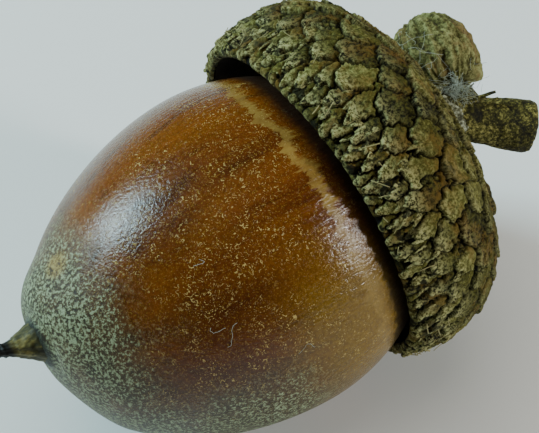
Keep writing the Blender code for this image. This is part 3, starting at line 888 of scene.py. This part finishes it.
def make_stalk(material):
    """The cut stub, the spur that bears the bud, and the small bracts beside it."""
    root = CUP_PLACE + CUP_AXIS * (CUP_HEIGHT + BOSS_HEIGHT)
    knee = root + CUP_AXIS * STALK_KNEE - STALK_KNEE_SAG
    end = root + STALK_REACH
    points, radii = [], []
    for k in range(61):
        t = k / 60 * STALK_CUT
        points.append(root * (1 - t) ** 2 + knee * 2 * t * (1 - t) + end * t * t)
        radii.append(np.interp(t, STALK_SHARES, STALK_RADII) * MM)
    work = bmesh.new()
    tube(work, points, radii, 64)
    bmesh.ops.recalc_face_normals(work, faces=work.faces)
    work.normal_update()
    for vert in work.verts:
        bump = noise.noise(vert.co / MM * 1.3) * 0.07 + noise.noise(vert.co / MM * 4.5) * 0.05
        vert.co += vert.normal * bump * MM
    add_piece("stalk_stub", work, material, "stalk")
    spur = bmesh.new()
    base = BUD_SEAT - BUD_AXIS * SPUR_LENGTH
    line = [base + BUD_AXIS * SPUR_STEP * k for k in range(len(SPUR_RADII))]
    tube(spur, line, [radius * MM for radius in SPUR_RADII], 32)
    bmesh.ops.recalc_face_normals(spur, faces=spur.faces)
    add_piece("stalk_spur", spur, material, "stalk")
    twigs = bmesh.new()
    for start, tip, radius in STALK_TWIGS:
        start, tip = Vector(start) * MM, Vector(tip) * MM
        line, radii = [], []
        for k in range(9):
            line.append(start.lerp(tip, k / 8) + Vector((0, 0, 0.08 * MM * math.sin(k))))
            radii.append(radius * MM * (1 - 0.07 * k))
        tube(twigs, line, radii, 10)
    bmesh.ops.recalc_face_normals(twigs, faces=twigs.faces)
    add_piece("stalk_bracts", twigs, material, "stalk")


def bud_outline(height):
    share = (height / BUD_HEIGHT - BUD_WIDEST) / (1 - BUD_WIDEST)
    if share > 0:
        return BUD_RADIUS * superellipse(share, 2.2)
    return BUD_NECK_RADIUS + (BUD_RADIUS - BUD_NECK_RADIUS) * superellipse(share * 1.22, 2)


def make_bud(material):
    points = [(0, -0.2 * MM)]
    points += [(bud_outline(BUD_HEIGHT * k / 200), BUD_HEIGHT * k / 200) for k in range(200)]
    points.append((0, BUD_HEIGHT))
    work = spun(even_profile(points, 0.10 * MM), 220)
    fold = work.verts.layers.float.new("fold")
    turn = Matrix.Translation(BUD_SEAT) @ BUD_AXIS.to_track_quat("Z", "Y").to_matrix().to_4x4()
    knob = turn.inverted() @ BUD_KNOB
    work.normal_update()
    moves = []
    for vert in work.verts:
        angle = math.atan2(vert.co.y, vert.co.x)
        tall = vert.co.z / BUD_HEIGHT
        spot = vert.co / MM
        place = Vector((math.cos(angle) * 1.6, math.sin(angle) * 1.6, tall * 0.8))
        place += noise.noise_vector(spot * 0.45) * 0.40
        ridge = 1 - abs(noise.noise(place * 1.7)) * 3.0
        small = 1 - abs(noise.noise(place * 4.2 + Vector((7, 0, 0)))) * 2.2
        lumps = noise.noise(spot * 1.1) * 1.1
        height = 0.44 * max(-0.6, ridge) + 0.28 * max(-0.6, small) + 0.22 * lumps
        height += 0.13 * noise.noise(spot * 3.6) + 0.08 * noise.noise(spot * 8.0)
        height += 1.2 * math.exp(-((vert.co - knob).length / BUD_KNOB_SIZE) ** 2)
        # The fold height, kept for the painted shade in the creases.
        vert[fold] = min(1.0, max(0.0, height * 0.8 + 0.25))
        moves.append(vert.normal * (height - 0.50) * 0.38 * MM)
    for vert, move in zip(work.verts, moves):
        vert.co += move
    add_piece("young_acorn_bud", work, material, "young_acorn", turn)


def make_collar(material):
    """The thin torn skin round the root of the stalk."""
    root = CUP_PLACE + CUP_AXIS * (CUP_HEIGHT - 0.1 * MM)
    points = [(radius * MM, height * MM) for radius, height in COLLAR_OUTLINE]
    work = spun(even_profile(points, 0.10 * MM), 130)
    for vert in work.verts:
        spot = vert.co / MM
        torn = noise.noise(Vector((spot.x, spot.y, 0)) * 1.4) * 0.9
        torn += noise.noise(Vector((spot.x, spot.y, 5)) * 3.3) * 0.4
        vert.co.z += torn * MM * smooth(spot.z / 1.4) * 0.8
        swell = 1 + 0.10 * noise.noise(spot * 1.3) + 0.05 * noise.noise(spot * 3.7)
        vert.co.x *= swell
        vert.co.y *= swell
    turn = Matrix.Translation(root) @ CUP_AXIS.to_track_quat("Z", "Y").to_matrix().to_4x4()
    add_piece("stalk_collar", work, material, "stalk", turn)


def strand(work, start, end, bow, radius, seed):
    """A thin thread from one place to another, bowed and a little wavy."""
    line = []
    for k in range(THREAD_POINTS):
        t = k / (THREAD_POINTS - 1)
        place = start.lerp(end, t) + bow * 4 * t * (1 - t)
        wave = noise.noise_vector(place / MM * 1.6 + Vector((seed, 0, 0)))
        line.append(place + wave * 0.26 * MM)
    tube(work, line, [radius] * THREAD_POINTS, THREAD_SIDES)


def scattered(rng, spread):
    """A random step in any direction, mostly shorter than twice the spread in millimetres."""
    return Vector([rng.gauss(0, spread) for _ in range(3)]) * MM


def make_cobweb(material):
    """Threads between the bud, the cup and the stalk."""
    rng = random.Random(WEB_SEED)
    work = bmesh.new()
    middle = BUD_SEAT + BUD_AXIS * BUD_WIDEST * BUD_HEIGHT
    shoulder = CUP_PLACE + CUP_AXIS * 8.0 * MM
    for k in range(WEB_THREADS):
        out = Vector([rng.gauss(0, 1) for _ in range(3)]).normalized()
        if out.z < -0.2 or out.x > 0.5:
            continue
        start = middle + out * BUD_RADIUS * rng.uniform(0.95, 1.02)
        away = Vector((rng.uniform(-1.5, 1.0), rng.uniform(0.5, 4.0), rng.uniform(2.0, 5.0)))
        end = shoulder + away * MM
        if (end - start).length > WEB_REACH:
            end = start + (end - start).normalized() * WEB_REACH
        bow = Vector((0, 0, rng.uniform(-0.2, 0.3))) * MM
        strand(work, start, end, bow, 0.010 * MM, k)
    for k in range(TUFT_THREADS):
        start = TUFT_PLACE + scattered(rng, 0.40)
        end = start + scattered(rng, 0.36)
        strand(work, start, end, Vector((0, 0, 0.1)) * MM, 0.009 * MM, k + 400)
    for k in range(SEAT_THREADS):
        start = BUD_SEAT + scattered(rng, 0.6) + BUD_AXIS * 0.4 * MM
        end = start + scattered(rng, 0.5)
        strand(work, start, end, Vector((0, 0, 0.15)) * MM, 0.011 * MM, k + 200)
    bmesh.ops.recalc_face_normals(work, faces=work.faces)
    add_piece("young_acorn_threads", work, material, "young_acorn")


def nut_surface(angle, along):
    """A place on the nut, in its own frame."""
    if along < 0:
        radius = NUT_RADIUS * superellipse(-along / NUT_FRONT, NUT_NOSE_POWER)
    else:
        radius = NUT_RADIUS * superellipse(along / NUT_BACK, 2)
    share = max(0.0, -along / NUT_FRONT)
    lean = NOSE_SHIFT * -NOSE_SAG * smooth(share / NOSE_SAG_ENDS)
    return Vector((math.cos(angle) * radius, math.sin(angle) * radius, along)) + lean


def make_hairs(material):
    """A few fibres that cling to the nut."""
    work = bmesh.new()
    for k, (angle, along, turn, length) in enumerate(NUT_HAIRS):
        angle = math.radians(angle)
        line = []
        for j in range(HAIR_POINTS):
            t = j / (HAIR_POINTS - 1)
            drift = length * MM * (t - 0.5)
            curl = 0.25 * MM * math.sin(t * 4.5 + k)
            curl += 0.12 * MM * noise.noise(Vector((t * 5, k, 0)))
            a = angle + (math.sin(turn) * drift + math.cos(turn) * curl) / NUT_RADIUS
            z = along * MM + math.cos(turn) * drift - math.sin(turn) * curl
            line.append(nut_surface(a, z) + Vector((math.cos(a), math.sin(a), 0)) * 0.02 * MM)
        tube(work, line, [HAIR_RADIUS] * HAIR_POINTS, 5)
    bmesh.ops.recalc_face_normals(work, faces=work.faces)
    add_piece("nut_hairs", work, material, "nut", NUT_LAID)


# The studio.

def make_floor():
    work = bmesh.new()
    bmesh.ops.create_grid(work, x_segments=1, y_segments=1, size=FLOOR_REACH)
    mesh = bpy.data.meshes.new("floor")
    work.to_mesh(mesh)
    work.free()
    mesh.materials.append(plain_look("floor_paper", (0.82, 0.82, 0.80), 0.9))
    floor = bpy.data.objects.new("floor", mesh)
    bpy.context.scene.collection.objects.link(floor)


def add_lamp(name, towards, reach, size, power, colour):
    """A soft lamp with a flat face that shines on the acorn from a direction."""
    data = bpy.data.lights.new(name, "AREA")
    data.shape = "RECTANGLE"
    data.size, data.size_y = size
    data.energy = power
    data.color = colour
    lamp = bpy.data.objects.new(name, data)
    out = Vector(towards).normalized()
    lamp.location = LAMPS_MIDDLE + out * reach
    lamp.rotation_mode = "QUATERNION"
    lamp.rotation_quaternion = (-out).to_track_quat("-Z", "Y")
    bpy.context.scene.collection.objects.link(lamp)
    return lamp


def make_lights():
    world = bpy.data.worlds.new("studio")
    world.use_nodes = True
    background = world.node_tree.nodes["Background"]
    background.inputs["Color"].default_value = (1.0, 0.97, 0.86, 1)
    background.inputs["Strength"].default_value = 0.10
    bpy.context.scene.world = world
    add_lamp("window", (-0.52, 0.60, 0.585), 0.30, (0.08, 0.08), 1.15, (0.58, 0.90, 1.0))
    add_lamp("side_lamp", (0.68, -0.66, 0.36), 0.25, (0.028, 0.030), 0.45, (0.97, 1.0, 0.98))
    over = add_lamp("over", (-0.05, 0.25, 0.95), 0.35, (0.40, 0.40), 0.70, (1.0, 0.99, 0.90))
    over.visible_glossy = False


def make_camera():
    data = bpy.data.cameras.new("camera")
    data.lens = CAMERA_LENS
    data.sensor_width = 36
    data.clip_start = 0.005
    data.clip_end = 5
    camera = bpy.data.objects.new("camera", data)
    camera.location = CAMERA_PLACE
    camera.rotation_mode = "QUATERNION"
    view = CAMERA_TARGET - CAMERA_PLACE
    camera.rotation_quaternion = view.to_track_quat("-Z", "Y")
    bpy.context.scene.collection.objects.link(camera)
    bpy.context.scene.camera = camera


make_floor()
make_lights()
make_camera()
make_nut(nut_look())
make_beak(beak_look())
scales = scale_look()
make_cup(scales)
make_splinters(scales)
make_lining(lining_look())
make_stalk(bark_look())
make_bud(young_look())
make_collar(down_look())
web = plain_look("web", (0.36, 0.40, 0.33), 0.9)
make_cobweb(web)
make_hairs(web)
make_fibres(plain_look("straw", (0.30, 0.26, 0.110), 0.8))
